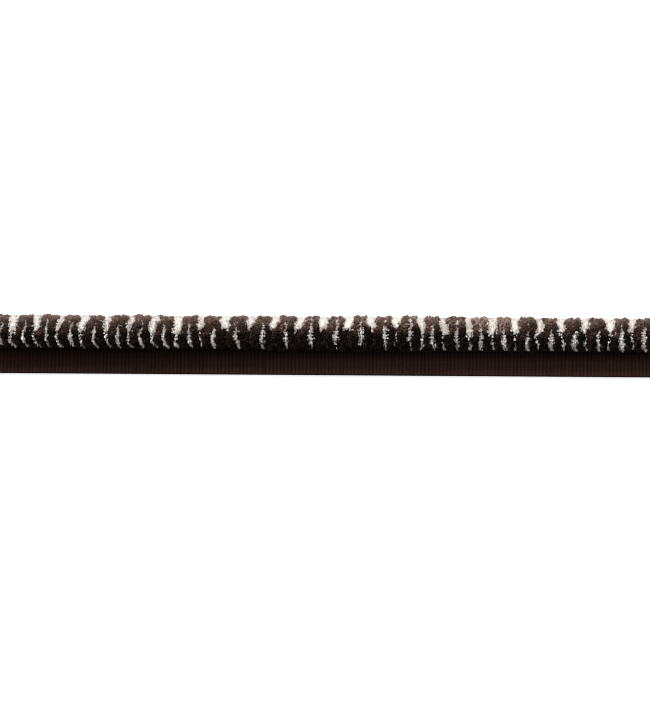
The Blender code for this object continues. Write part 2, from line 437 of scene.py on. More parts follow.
# how thick the pile is there, and how far each brown lobe stands up
swelling = 0.28 * mm * bell(*drift["swollen"], places)
swelling += 0.08 * mm * smoothStep(*drift["swollenRight"], places) - 0.04 * mm
lobeRise = ownChance.uniform(*own["lobeRise"], placeCount) * mm + swelling
print(placeCount - 2, "stripes")


def outline(angle, drop):
    # Y and Z on the pile's outline, an ellipse, so far under its surface
    turn = np.radians(angle)
    y = pile["centreY"] + (pile["halfWidth"] - drop) * np.cos(turn)
    z = pile["centreZ"] + (pile["halfHeight"] - drop) * np.sin(turn)
    return y, z


def outwards(angle):
    # Y and Z of the outline's normal
    turn = np.radians(angle)
    y, z = np.cos(turn) / pile["halfWidth"], np.sin(turn) / pile["halfHeight"]
    size = np.hypot(y, z)
    return y / size, z / size


def arcAt(angle):
    # how far round the pile an angle lies, in metres
    return np.radians(angle) * pile["meanRadius"]


def angleOf(arc):
    return np.degrees(arc / pile["meanRadius"])


def leanAt(x, angle):
    # How far the stripes have moved along X: most at the left, less at the right, none at the cut ends. Over
    # the crown they lean to the left in the left half, and a little to the right at the right end
    strength = between(1, stripe["rightEndLean"], (x + halfLength) / (2 * halfLength))
    fade = np.clip((halfLength - np.abs(x)) / stripe["leanFade"], 0, 1)
    overCrown = smoothStep(*stripe["crownAngles"], angle) - stripe["crownRest"]
    crown = np.interp(x, stripe["crownLeanPlaces"], stripe["crownLean"]) * overCrown
    return (np.interp(angle, stripe["leanAngles"], stripe["lean"]) * strength + crown) * fade


def middleAt(groove, angle):
    # a stripe's middle wanders a little to either side on its way round
    arc = arcAt(angle) / stripe["wanderLength"]
    wander = stripe["wander"] * (1 + stripe["tallWander"] * (groove % 2))
    return places[groove] + wander * (softNoise(groove * 9.7 + 200, arc, 15) - 0.5)


def beadAt(groove, angle):
    # The narrow stripes are chains of beads, longer ones in the tall stripes' tails. For each spot: 1 at the
    # middle of a bead, down to 0 at the crease between two, and the bead's own random number
    arc = arcAt(angle) / (stripe["bead"] * (1 + stripe["tallBead"] * (groove % 2)))
    arc = arc + 0.6 * softNoise(groove * 7.1 + 40, arc * 0.7, 12) + hashed(groove + 9, 3 * groove, 13)
    return np.abs(np.sin(math.pi * arc)), hashed(groove, np.floor(arc).astype(np.int64), 16)


def stripeWidth(groove, angle, side=0):
    # A stripe's table, read a little sooner or later and made wider or narrower by the stripe's own values.
    # Where a tall one tapers, the table is read faster or slower
    turned = angle + grooveTurn[groove] + side * sideTurn[groove] * (groove % 2)
    start, tail = stripe["taper"]
    tapered = np.minimum(start + (turned - start) * steepness[groove], np.maximum(turned, tail))
    tall = np.interp(np.where(turned > start, tapered, turned), stripe["tallAngles"], stripe["tallWidth"])
    tall = tall * (1 - closed[groove] * smoothStep(*stripe["closeAngles"], turned))
    short = np.interp(turned, stripe["shortAngles"], stripe["shortWidth"])
    fromCrest = smoothStep(crestStart[groove], crestStart[groove] + stripe["crestEase"], angle)
    short = np.maximum(short, stripe["crest"] * crested[groove] * fromCrest)
    short = short * (1 - shortEnd[groove] * smoothStep(*stripe["shortEndAngles"], angle))
    return grooveScale[groove] * np.where(groove % 2 == 1, tall, short)


chain = {
    "thin": (2.6 * mm, 1.7 * mm),   # a stripe becomes a chain as it narrows from this to that
    "tallSwell": 2.0,
    "tallCut": 0.75,
    "shortSwell": 1.9,
    "shortCut": 0.40,
    "plumpest": 1.15,
    "shift": 0.50 * mm,
    "breakLength": 1.0 * mm,
    "breakAngle": 82,               # the short stripes break no further down
    "ragged": 1.0 * mm,
    "raggedLength": 0.6 * mm,
    "least": 0.1 * mm,
}


def creamHalf(groove, angle, side, frayed):
    # half the cream's width: its table's value, ragged along its length, and broken into beads where thin
    isTall = groove % 2 == 1
    arc = arcAt(angle)
    wide = stripeWidth(groove, frayed, side)
    shows = wide > chain["least"]
    thin = smoothStep(*chain["thin"], wide)
    breaks = np.clip(2.4 * softNoise(groove * 5.3 + 300, arc / chain["breakLength"], 2) - 0.35, 0, 1.3)
    breaks = np.where(isTall | (angle < chain["breakAngle"]), breaks, 1)
    swell, ownBead = beadAt(groove, angle)
    tall = chain["tallSwell"] * swell - chain["tallCut"]
    short = chain["shortSwell"] * swell - chain["shortCut"]
    beads = np.clip(np.where(isTall, tall, short), 0, chain["plumpest"]) * (0.75 + 0.5 * ownBead) * breaks
    strength = thin * chained[groove]
    shifted = side * strength * (ownBead - 0.5) * chain["shift"] * shows
    half = wide / 2 * (1 - strength + strength * beads) + shifted
    ragged = softNoise(groove * 3.7 + side * 0.5 + 100, arc / chain["raggedLength"], 1) - 0.5
    ragged = ragged * (1 - 0.5 * thin) * chain["ragged"] * shows * (half > chain["least"])
    return np.where((groove == 0) | (groove == placeCount - 1), 0, np.maximum(0, half + ragged))


relief = {
    "opening": (50, 85),            # degrees over which the short grooves open
    "tallDepth": 0.9 * mm,
    "frontDepth": 0.5 * mm,
    "shortDepth": 0.25 * mm,
    "lobeRound": 2.2,
    "creamDrop": 0.22 * mm,
    "creamRim": 0.40 * mm,
    "flatter": 0.22 * mm,
    "flatterAngles": (70, 30),
    "narrow": (1.3 * mm, 0.7 * mm),
    "narrowDrop": 0.08 * mm,
    "crease": 0.60 * mm,
    "creaseRound": 1.3,
    "creamRise": 0.10 * mm,
    "tallRiseAngles": (60, 80),
    "shortRiseAngles": (25, 45),
}


def grooveDepth(groove, angle):
    # how deep the brown falls beside a stripe: 1 mm, but little where a short one has closed
    opened = smoothStep(*relief["opening"], angle)
    tall = relief["tallDepth"] + relief["frontDepth"] * opened
    short = relief["shortDepth"] * (1 + np.maximum(opened, crested[groove]))
    return np.where(groove % 2 == 1, tall, short)


def threadNoise(x, grain, angle):
    # from -0.5 to 0.5, in threads that run round the pile
    return softNoise(x / grain + 60, angle / 40 + 9, 21) - 0.5


def pileAt(x, angle):
    # For each spot of the pile: whether it is cream, how deep its surface lies, how far across its lock it
    # is, from -1 at the left side to 1 at the right, how far into a crease between two beads, 0 to 1, and the
    # stripe at its left
    place = x - leanAt(x, angle)
    frayed = angle + stripe["fray"] * threadNoise(place, stripe["frayGrain"], angle)
    right = np.clip(np.searchsorted(places, place), 1, placeCount - 1)
    right = right - (place < middleAt(right - 1, angle)) + (place > middleAt(right, angle))
    right = np.clip(right, 1, placeCount - 1)
    left = right - 1
    leftHalf, rightHalf = creamHalf(left, angle, 1, frayed), creamHalf(right, angle, -1, frayed)
    leftSide, rightSide = middleAt(left, angle) + leftHalf, middleAt(right, angle) - rightHalf
    inLeft = (place < leftSide) & (left > 0)
    inRight = (place > rightSide) & (right < placeCount - 1)
    cream = inLeft | inRight
    groove = np.where(inLeft, left, right)
    half = np.maximum(np.where(inLeft, leftHalf, rightHalf), 0.05 * mm)
    inBrown = 2 * (place - leftSide) / np.maximum(rightSide - leftSide, 0.1 * mm) - 1
    across = np.clip(np.where(cream, (place - middleAt(groove, angle)) / half, inBrown), -1, 1)
    near = np.where(across < 0, left, right)
    brownDrop = grooveDepth(near, angle) * np.abs(across) ** relief["lobeRound"] - lobeRise[left]
    narrow = smoothStep(*relief["narrow"], half)
    crease = np.where(cream, narrow * (1 - beadAt(groove, angle)[0]) ** relief["creaseRound"], 0)
    flat = relief["flatter"] * smoothStep(*relief["flatterAngles"], angle)
    creamDrop = relief["creamDrop"] - flat + relief["narrowDrop"] * narrow
    creamDrop = creamDrop + (relief["creamRim"] - flat) * across ** 2 + relief["crease"] * crease
    tallRise, shortRise = (smoothStep(*relief[key], angle) for key in ("tallRiseAngles", "shortRiseAngles"))
    raised = np.where(groove % 2 == 1, tallRise, shortRise)
    creamDrop = creamDrop - (swelling[groove] + relief["creamRise"]) * raised
    fromEnd = np.clip(1 - (halfLength - np.abs(x)) / pile["endRound"], 0, 1)
    endDrop = pile["endRound"] * pile["endDrop"] * (1 - np.sqrt(1 - fromEnd ** 2))
    return cream, np.where(cream, creamDrop, brownDrop) + endDrop, across, crease, left


# painted light on the brown pile: how far down each lock the light reaches before it turns to painted shade
brownPaintedLight = {
    "furtherDown": -9,              # degrees
    "lessDown": 8,
    "uneven": 14,
    "grain": 0.75 * mm,
    "middleLeft": (-30 * mm, -16 * mm),
    "middleRight": (72 * mm, 58 * mm),
    "shoulder": (0.44, 0.06),       # pairs hold towards the ends and in the middle
    "shoulderAngles": (104, 80),
    "fallFrom": (34, 60),
    "fallTo": (66, 86),
    "farSide": (-30, 0),
    "crown": (5, 35),
}


def paintedLightAt(x, angle, left):
    # Painted light and shade on the brown's fibres, 0 to 1: most over the crown, as if lit from above its far
    # side, and further down on the locks left of the short stripes, as if lit from the left. In the middle it
    # falls all at once, and towards both ends a dimmer shoulder goes on down
    shift = np.where(left % 2 == 1, brownPaintedLight["furtherDown"], brownPaintedLight["lessDown"])
    turned = angle + shift + brownPaintedLight["uneven"] * threadNoise(x, brownPaintedLight["grain"], angle)
    middle = smoothStep(*brownPaintedLight["middleLeft"], x) * smoothStep(*brownPaintedLight["middleRight"], x)
    shoulder = between(*brownPaintedLight["shoulder"], middle)
    fallFrom, fallTo = between(*brownPaintedLight["fallFrom"], middle), between(*brownPaintedLight["fallTo"], middle)
    down = shoulder * smoothStep(*brownPaintedLight["shoulderAngles"], turned)
    down = down + (1 - shoulder) * smoothStep(fallTo, fallFrom, turned)
    upwards = smoothStep(*brownPaintedLight["farSide"], angle) + smoothStep(*brownPaintedLight["crown"], angle)
    return down * (0.30 + 0.35 * upwards)


clump = {
    "bigSize": (1.0 * mm, 0.9 * mm),        # along the trim and round the pile
    "bigDrop": 0.55 * mm,
    "smallSize": 0.42 * mm,
    "smallDrop": 0.40 * mm,
    "lift": 0.12 * mm,
    "creamShare": 0.8,
}


def clumpDrop(x, angle, cream):
    # the pile's own unevenness, as soft noise at two sizes
    arc = arcAt(angle)
    big = softNoise(x / clump["bigSize"][0] + 500, arc / clump["bigSize"][1] + 50, 3) - 0.5
    small = softNoise(x / clump["smallSize"] + 900, arc / clump["smallSize"] + 90, 4) - 0.5
    drop = clump["bigDrop"] * big + clump["smallDrop"] * small - clump["lift"]
    return drop * np.where(cream, clump["creamShare"], 1.0)


# the pile's fibres: thin spikes with three sides, which lean out over the edges of their lock

fibre = {
    "length": 1.0 * mm,
    "lengths": (0.75, 1.15),
    "width": 0.22 * mm,
    "widths": (0.7, 1.3),
    "astray": 0.15,
    "looseLengths": (1.1, 1.5),     # the few that stand out
    "looseWidth": 0.55,
    "looseAstray": 0.4,
    "depthAstray": 0.06 * mm,
    "combLength": 0.8 * mm,
    "brushLength": 0.9 * mm,
    "spacing": 0.172 * mm,          # over the half that faces up
    "wideSpacing": 0.23 * mm,       # under the overhangs
    "mapWidth": 5 / 1024,
    "front": (60, 90),              # degrees: from the crown to the front
}


tuft = {
    "across": 0.70 * mm,
    "along": 0.64 * mm,
    "astray": 0.85,             # how far a tuft's middle may lie from its cell's, against the cell's size
    "snap": (0.8, 0.3),         # how far a fibre takes its colour from its tuft's middle, not from its
    "snapAngles": (75, 95),     # own place, over the crown and down the front
    "dome": 1.2 * mm,
    "rise": 0.28 * mm,
    "splay": 1.0,
}


wisp = {
    "stations": 7,
    "width": 0.17 * mm,
    "length": 1.6 * mm,
    "lengths": (0.6, 1.3),
    "arch": 0.12 * mm,
    "arches": (0.5, 1.3),
    "angles": (15, 72),
    "taper": 0.75,
    "sink": 0.35 * mm,
    "fluffShare": 0.13,
    "fluffHeading": (-0.9, 0.4),
    "shade": 0.15,
    "brownShade": 0.2,
    "fluffShade": 0.6,
}


loose = {
    # two locks right of the middle are loose and pale: each one's middle and reach along the trim
    "fluff": (53 * mm, 2.8 * mm),
    "pale": (60.5 * mm, 3.2 * mm),
    "fluffTone": 0.16,
    "fluffTufts": 0.75,
    "paleTone": 0.50,
    "angles": (92, 74),
    "coolness": 0.5,
}


def tuftAt(x, angle):
    # the tuft of each spot, the nearest of the nine around it: the spot's place from its middle, across and
    # along in cells, and the tuft's own random number
    u, v = x / tuft["across"], arcAt(angle) / tuft["along"]
    column, row = np.floor(u).astype(np.int64), np.floor(v).astype(np.int64)
    nearest, fromU, fromV, own = np.full(u.shape, 9.0), 0 * u, 0 * u, 0 * u
    for stepU in (-1, 0, 1):
        for stepV in (-1, 0, 1):
            a, b = column + stepU, row + stepV
            awayU = u - a - 0.5 - tuft["astray"] * (hashed(a, b, 31) - 0.5)
            awayV = v - b - 0.5 - tuft["astray"] * (hashed(a, b, 32) - 0.5)
            away = np.hypot(awayU, awayV)
            closer = away < nearest
            nearest = np.where(closer, away, nearest)
            fromU, fromV = np.where(closer, awayU, fromU), np.where(closer, awayV, fromV)
            own = np.where(closer, hashed(a, b, 33), own)
    return fromU, fromV, own


def unit(vectors):
    return vectors / np.maximum(np.linalg.norm(vectors, axis=-1, keepdims=True), 1e-12)


def spikes(roots, ways, lengths, widths, chance):
    # three points round each root, at right angles to the fibre's way, and one at its tip
    side = unit(np.cross(ways, unit(chance.normal(size=ways.shape))))
    other = np.cross(ways, side)
    tips = roots + ways * lengths[:, None]
    ring = []
    for turn in (0, 2 * math.pi / 3, 4 * math.pi / 3):
        ring.append(roots + (side * math.cos(turn) + other * math.sin(turn)) * widths[:, None] / 2)
    return np.stack(ring + [tips], 1).reshape(-1, 3)


def spikeFaces(count):
    # three sides and the closed root of each spike
    one = np.array([(0, 1, 3), (1, 2, 3), (2, 0, 3), (2, 1, 0)])
    return (np.arange(count)[:, None, None] * 4 + one).reshape(-1, 3)


def spikeMap(shade, warmth):
    # each fibre's place across the map is its shade, and its band up the map its warmth
    wide = fibre["mapWidth"]
    u = np.clip(shade, 0.01, 0.99)
    band = np.clip((warmth * mapBands).astype(int), 0, mapBands - 1)
    low, high = (band + 0.08) / mapBands, (band + 0.92) / mapBands
    rootLeft, rootRight = np.stack([u - wide, low], 1), np.stack([u + wide, low], 1)
    tip = np.stack([u, high], 1)
    sideMap = np.stack([rootLeft, rootRight, tip], 1)
    rootMap = np.stack([rootLeft, rootRight, np.stack([u, low + 0.25 / mapBands], 1)], 1)
    return np.stack([sideMap, sideMap, sideMap, rootMap], 1).reshape(-1, 3, 2)


def addPile(name, mesh, isCream):
    if isCream:
        addPiece(name, mesh, creamMaterial, "cream_pile", "cream_ruche")
    else:
        addPiece(name, mesh, brownMaterial, "brown_pile", "brown_ruche")


def fibreSpots(lowAngle, highAngle, spacing, chance):
    # one spot in each square of a grid over the pile's outline, anywhere within its square
    rows = int(math.radians(highAngle - lowAngle) * pile["meanRadius"] / spacing)
    columns = int(2 * halfLength / spacing)
    row, column = np.meshgrid(np.arange(rows), np.arange(columns), indexing="ij")
    x = (column + chance.random(column.shape)) / columns * 2 * halfLength - halfLength
    angle = lowAngle + (row + chance.random(row.shape)) / rows * (highAngle - lowAngle)
    return x.ravel(), angle.ravel()


# the brown fibres' shade: painted light and its painted shade, painted shade at each tuft's rim, and patches,
# flecks, tufts and grain of their own tone
brownTone = {
    "floor": 0.036,
    "light": 0.50,
    "speck": 0.066,
    "patch": 0.30,
    "fleck": 0.5,
    "fleckSize": (0.55 * mm, 0.36 * mm),
    "tuft": 0.5,
    "rim": 0.4,
    "grain": 0.12,
    "tail": 0.086,                  # a little cream shows through where a tall stripe's tail is hidden
    "tailSides": (0.3, 0.9),
    "tailAngles": (80, 95),
    "tailEndAngles": (160, 140),
}
warmTone = {
    "patch": 0.7,
    "patchSize": 1.9 * mm,
    "grain": 0.3,
    "less": 0.2,
    # painted shade: down the front the fibres turn to the darker, redder warm brown
    "front": 0.65,
    "frontAngles": (35, 75),
}
patchSize = 1.6 * mm


def growFibres(name, wantCream, zones, seed):
    look = creamPile if wantCream else brownPile
    chance = np.random.default_rng(seed)
    spots = [fibreSpots(low, high, spacing, chance) for low, high, spacing in zones]
    x = np.concatenate([s[0] for s in spots])
    angle = np.concatenate([s[1] for s in spots])
    fromU, fromV, ownTuft = tuftAt(x, angle)
    snap = between(*tuft["snap"], smoothStep(*tuft["snapAngles"], angle))
    colourX = x - snap * fromU * tuft["across"]
    colourAngle = angle - snap * angleOf(fromV * tuft["along"])
    cream, drop, across, crease, left = pileAt(colourX, colourAngle)
    keep = cream == wantCream
    x, angle, drop, across, crease, left = (part[keep] for part in (x, angle, drop, across, crease, left))
    fromU, fromV, ownTuft = fromU[keep], fromV[keep], ownTuft[keep]
    total = len(x)
    fromMiddle = np.hypot(fromU, fromV)
    front = smoothStep(*fibre["front"], angle)
    # each tuft is a low dome, higher or lower by its own number
    dome = clumpDrop(x, angle, wantCream) + tuft["dome"] * fromMiddle ** 2 - tuft["rise"] * (ownTuft - 0.5)
    drop = drop + between(*look["unevenness"], front) * dome
    drop = drop + chance.normal(0, fibre["depthAstray"], total)
    isLoose = chance.random(total) > look["neat"]
    y, z = outline(angle, drop)
    normalY, normalZ = outwards(angle)
    arc = arcAt(angle)
    comb = 0.5 * softNoise(x / fibre["combLength"], arc / fibre["combLength"], 5) - 0.25
    brush = 0.5 * softNoise(x / fibre["brushLength"] + 70, arc / fibre["brushLength"], 6) - 0.25
    # they lean out over their lock's sides, and out from their tuft's middle
    swing = brush + tuft["splay"] * fromV
    turn = across * np.abs(across) * between(*look["leaning"], front) + comb + tuft["splay"] * fromU
    if not wantCream:
        # the brown lies more to one side or the other, tuft by tuft, over the crown
        toSide = hashed(np.floor(ownTuft * 9999).astype(np.int64), 5, 35) - 0.5
        turn = turn + look["tuftSwing"] * toSide * (1 - front)
    ways = np.stack([turn, normalY - normalZ * swing, normalZ + normalY * swing], 1)
    ways = unit(ways + chance.normal(0, fibre["astray"], (total, 3)))
    lengths = fibre["length"] * chance.uniform(*fibre["lengths"], total)
    roots = np.stack([x, y, z], 1) - ways * lengths[:, None]
    ways = unit(ways + chance.normal(0, fibre["looseAstray"], (total, 3)) * isLoose[:, None])
    lengths = lengths * np.where(isLoose, chance.uniform(*fibre["looseLengths"], total), 1)
    widths = fibre["width"] * chance.uniform(*fibre["widths"], total)
    widths = widths * np.where(isLoose, fibre["looseWidth"], 1)
    patch = softNoise(x / patchSize + 30, arc / patchSize + 10, 7) - 0.5
    fluff, pale = bell(*loose["fluff"], x), bell(*loose["pale"], x)
    if wantCream:
        # painted light and shade: the table's value by angle, darker at each tuft's rim and in the creases
        # between beads
        shade = np.interp(angle, look["shadeAngles"], look["paintedShades"])
        shade = shade + between(*look["patchTone"], front) * patch
        shade = shade + between(*look["tuftTone"], front) * (ownTuft - 0.5)
        shade = shade - between(*look["paintedRimShade"], front) * fromMiddle ** 2 - look["paintedCreaseShade"] * crease
        shade = shade + chance.normal(0, look["grain"], total)
    else:
        # painted light and shade: lighter over the crown, darker down the front, and darker at each tuft's
        # rim
        light = paintedLightAt(x, angle, left)
        fleckX, fleckArc = brownTone["fleckSize"]
        fleck = softNoise(x / fleckX + 31, arc / fleckArc + 13, 8) - 0.5
        speck = brownTone["patch"] * patch + brownTone["fleck"] * fleck + brownTone["tuft"] * (ownTuft - 0.5)
        speck = speck - brownTone["rim"] * fromMiddle ** 2 + chance.normal(0, brownTone["grain"], total)
        shade = brownTone["floor"] + brownTone["light"] * light
        shade = shade + speck * (brownTone["speck"] + brownTone["light"] * light)
        near = left + (across > 0)
        tail = closed[near] * (near % 2) * smoothStep(*brownTone["tailSides"], np.abs(across))
        tail = tail * smoothStep(*brownTone["tailAngles"], angle)
        tail = tail * smoothStep(*brownTone["tailEndAngles"], angle)
        shade = shade + brownTone["tail"] * tail * (0.5 + ownTuft)
        paler = (loose["fluffTone"] + loose["fluffTufts"] * ownTuft ** 2) * fluff + loose["paleTone"] * pale
        shade = shade + paler * smoothStep(*loose["angles"], angle) * (1 + 1.2 * speck)
    warmPatch = softNoise(x / warmTone["patchSize"] + 11, arc / warmTone["patchSize"] + 17, 14)
    warmth = warmTone["patch"] * warmPatch + warmTone["grain"] * chance.random(total) - warmTone["less"]
    # painted shade: warmer and darker down the front
    warmth = warmth + warmTone["front"] * smoothStep(*warmTone["frontAngles"], angle)
    warmth = warmth - loose["coolness"] * (fluff + pale)
    points = spikes(roots, ways, lengths, widths, chance)
    mesh = meshFromArrays(name, points, spikeFaces(total), spikeMap(shade, warmth), smooth=False)
    addPile(name, mesh, wantCream)


def growWisps(name, wantCream, total, seed):
    # single longer fibres that lie over the crown in a low arch, many of them in the loose stretch
    chance = np.random.default_rng(seed)
    inFluff = chance.random(total) < wisp["fluffShare"]
    fluffX, fluffReach = loose["fluff"]
    x = np.where(inFluff, chance.normal(fluffX, fluffReach * 0.8, total),
                 chance.uniform(-halfLength + 3 * mm, halfLength - 3 * mm, total))
    angle = chance.uniform(*wisp["angles"], total)
    cream, drop, across, crease, left = pileAt(x, angle)
    keep = (cream == wantCream) | inFluff
    heading = np.where(across < 0, math.pi, 0) + chance.normal(0, 0.8, total)
    heading = np.where(inFluff, chance.normal(*wisp["fluffHeading"], total), heading)
    x, angle, inFluff, heading = x[keep], angle[keep], inFluff[keep], heading[keep]
    total = len(x)
    along = np.linspace(0, 1, wisp["stations"])[None, :]
    turning = chance.normal(0, 0.5, total)[:, None]
    reach = wisp["length"] * chance.uniform(*wisp["lengths"], total)[:, None]
    way = heading[:, None] + turning * along
    step = reach / (wisp["stations"] - 1)
    xs = x[:, None] + np.cumsum(np.cos(way), 1) * step
    angles = angle[:, None] + angleOf(np.cumsum(np.sin(way), 1) * step)
    xs = np.clip(xs, -halfLength + 1 * mm, halfLength - 1 * mm)
    surface = pileAt(xs, angles)[1]
    surface = (np.roll(surface, 1, 1) + surface + np.roll(surface, -1, 1)) / 3
    arch = wisp["arch"] * chance.uniform(*wisp["arches"], total)[:, None]
    lowest = np.minimum(surface, surface.mean(1, keepdims=True)) + wisp["sink"]
    y, z = outline(angles, lowest - (arch + wisp["sink"]) * np.sin(math.pi * along))
    line = np.stack([xs, y, z], -1)
    ahead = unit(np.gradient(line, axis=1))
    side = unit(np.cross(ahead, np.array([0, 0, 1.0])))
    other = np.cross(side, ahead)
    thick = wisp["width"] / 2 * (1 - wisp["taper"] * along ** 2) * (1 + 0.5 * inFluff)[:, None]
    turns = np.array([0, 2 * math.pi / 3, 4 * math.pi / 3])[:, None]
    ring = side[:, :, None] * np.cos(turns) + other[:, :, None] * np.sin(turns)
    rings = line[:, :, None] + ring * thick[:, :, None, None]
    middleShade = wisp["shade"] if wantCream else wisp["brownShade"] + wisp["fluffShade"] * inFluff
    shade = np.clip(chance.normal(middleShade, 0.1, total), 0.02, 0.98)
    mesh = loftMesh(name, rings)
    band = np.floor(chance.random(total) * mapBands)
    perBody = len(mesh.polygons) // total
    u = np.repeat(shade, perBody)[:, None] + np.array([-1, 1, 0]) * fibre["mapWidth"]
    v = (np.repeat(band, perBody)[:, None] + np.array([0.45, 0.45, 0.92])) / mapBands
    mesh.uv_layers["OFBake"].data.foreach_set("uv", np.stack([u, v], -1).astype(np.float32).ravel())
    addPile(name, mesh, wantCream)


cutEnd = {
    "rim": 0.93,                    # the fibres' roots reach out to this share of the pile's section
    "overTape": 0.05 * mm,
    "drop": 0.25 * mm,
    "roundDrop": 0.5 * mm,
    "splay": 0.7,
    "lengths": (0.8, 1.2),
    # painted light and shade: the cut ends' fibres are darker at the tape's side and lighter at the far side
    "shade": (0.03, 0.26),          # pairs hold at the tape's side and at the far side
    "speck": (0.07, 0.40),
}


def growEnds(name, seed):
    # fibres over the two cut ends: spots over the pile's section, pointing out along the trim
    chance = np.random.default_rng(seed)
    perSide = int(2 * pile["halfWidth"] / fibre["spacing"])
    parts = []
    for side in (-1, 1):
        row, column = np.meshgrid(np.arange(perSide), np.arange(perSide), indexing="ij")
        y = ((column + chance.random(row.shape)) / perSide * 2 - 1).ravel()
        z = ((row + chance.random(row.shape)) / perSide * 2 - 1).ravel()
        overTape = pile["centreZ"] + z * pile["halfHeight"] > tapeHigh[2] + cutEnd["overTape"]
        keep = (np.hypot(y, z) < cutEnd["rim"]) & overTape
        y, z = y[keep], z[keep]
        out, total = np.hypot(y, z), len(y)
        placeY, placeZ = pile["centreY"] + y * pile["halfWidth"], pile["centreZ"] + z * pile["halfHeight"]
        fromU, fromV, ownTuft = tuftAt(placeY + 0.05 * side, angleOf(placeZ))
        drop = cutEnd["drop"] + cutEnd["roundDrop"] * out ** 4
        drop = drop + tuft["dome"] * np.hypot(fromU, fromV) ** 2 - tuft["rise"] * (ownTuft - 0.5)
        tips = np.stack([side * (halfLength - np.maximum(drop, 0.05 * mm)), placeY, placeZ], 1)
        wayY, wayZ = cutEnd["splay"] * (y * out + fromU), cutEnd["splay"] * (z * out + fromV)
        ways = np.stack([np.full(total, side), wayY, wayZ], 1)
        ways = unit(ways + chance.normal(0, fibre["astray"], (total, 3)))
        lengths = fibre["length"] * chance.uniform(*cutEnd["lengths"], total)
        widths = fibre["width"] * chance.uniform(*fibre["widths"], total)
        # painted light: lighter towards the far side
        lit = smoothStep(-0.4, 1, y)
        speck = 0.8 * (ownTuft - 0.5) + chance.normal(0, brownTone["grain"], total)
        shade = between(*cutEnd["shade"], lit) + speck * between(*cutEnd["speck"], lit)
        roots = tips - ways * lengths[:, None]
        parts.append((spikes(roots, ways, lengths, widths, chance), shade, chance.random(total)))
    points, shade, warmth = (np.concatenate([p[k] for p in parts]) for k in range(3))
    mesh = meshFromArrays(name, points, spikeFaces(len(shade)), spikeMap(shade, warmth), smooth=False)
    addPile(name, mesh, False)


# each zone: from one angle to another, and how far apart its fibres are
fine, coarse = fibre["spacing"], fibre["wideSpacing"]
growEnds("brown_pile_ends", 27)
growFibres("brown_pile_back", False, [(-60, 0, coarse), (0, 48, fine)], 21)
growFibres("brown_pile_crown", False, [(48, 105, fine)], 22)
growFibres("brown_pile_front", False, [(105, 150, fine)], 23)
growFibres("brown_pile_low", False, [(150, 170, fine), (170, 234, coarse)], 26)
growFibres("cream_pile_back", True, [(-60, 0, coarse), (0, 80, fine)], 24)
growFibres("cream_pile_front", True, [(80, 170, fine), (170, 225, coarse)], 25)
growWisps("brown_pile_wisps", False, 180, 28)
growWisps("cream_pile_wisps", True, 80, 29)

# the solid part of the pile, under its fibres

core = {
    "stations": 801,
    "rows": 40,
    "under": 0.90 * mm,
    "grooveFloor": 1.5 * mm,
    "baseFront": 1.2 * mm,
    "baseBack": 6.4 * mm,
    "baseLift": 0.1 * mm,
    "endInset": 1.2 * mm,
    # painted shade: near black down the front, deep under the fibres; painted light makes it paler towards
    # the back
    "front": (0.004, 0.0025, 0.002, 1),
    "back": (0.030, 0.018, 0.014, 1),
    "paintedLightRamp": (3 * mm, 9 * mm),
}
creamCore = {
    "stations": 61,
    "under": 0.50 * mm,
    "across": np.array([-1, -0.95, -0.55, 0, 0.55, 0.95, 1, 0]),
    "deeper": np.array([1.2, 0.45, 0.12, 0, 0.12, 0.45, 1.2, 1.4]) * mm,
    "widthShare": 0.34,
    "narrower": 0.08 * mm,
    "leastHalf": 0.04 * mm,
    "frontInset": 6,                # degrees short of the stripe's own ends
    "tallInset": 14,
    "shortInset": 4,
    # painted shade: a little darker towards the back, as the cream fibres are
    "front": (0.80, 0.75, 0.69, 1),
    "back": (0.74, 0.69, 0.63, 1),
}


def coreMaterial(name, look):
    # painted light and shade, as its fibres have: the core turns to another shade towards the pile's back
    material, tree, shader = newMaterial(name, 1.0, brownPile["gloss"])
    spot = shaderNode(tree, "ShaderNodeTexCoord")
    parts = shaderNode(tree, "ShaderNodeSeparateXYZ", {0: spot.outputs["Object"]})
    start, end = core["paintedLightRamp"]
    far = shaderNode(tree, "ShaderNodeMapRange", {0: parts.outputs[1], 1: start, 2: end})
    colour = blendColours(tree, far.outputs[0], look["front"], look["back"])
    tree.links.new(colour, shader.inputs["Base Color"])
    return material


def makeBrownCore():
    # rings across the trim: the pile's outline less the core's depth, closed along its base on the tape
    x = np.linspace(-halfLength + core["endInset"], halfLength - core["endInset"], core["stations"])
    angle = np.linspace(pile["frontAngle"], pile["backAngle"], core["rows"])
    xs, angles = np.meshgrid(x, angle, indexing="ij")
    cream, drop, across, crease, left = pileAt(xs, angles)
    drop = np.where(cream, core["grooveFloor"], np.maximum(drop, 0)) + core["under"]
    drop = drop + clumpDrop(xs, angles, cream)
    y, z = outline(angles, drop)
    lowZ = tapeHigh[2] + core["baseLift"]
    baseY = np.broadcast_to([core["baseBack"], core["baseFront"]], (core["stations"], 2))
    y = np.concatenate([y, baseY], 1)
    z = np.concatenate([np.maximum(z, lowZ + core["baseLift"]), np.full_like(baseY, lowZ)], 1)
    xs = np.concatenate([xs, xs[:, :2]], 1)
    mesh = loftMesh("brown_pile_core", np.stack([xs, y, z], -1)[None], strips=8)
    addPiece("brown_pile_core", mesh, coreMaterial("brown_core", core), "brown_pile", "brown_ruche")


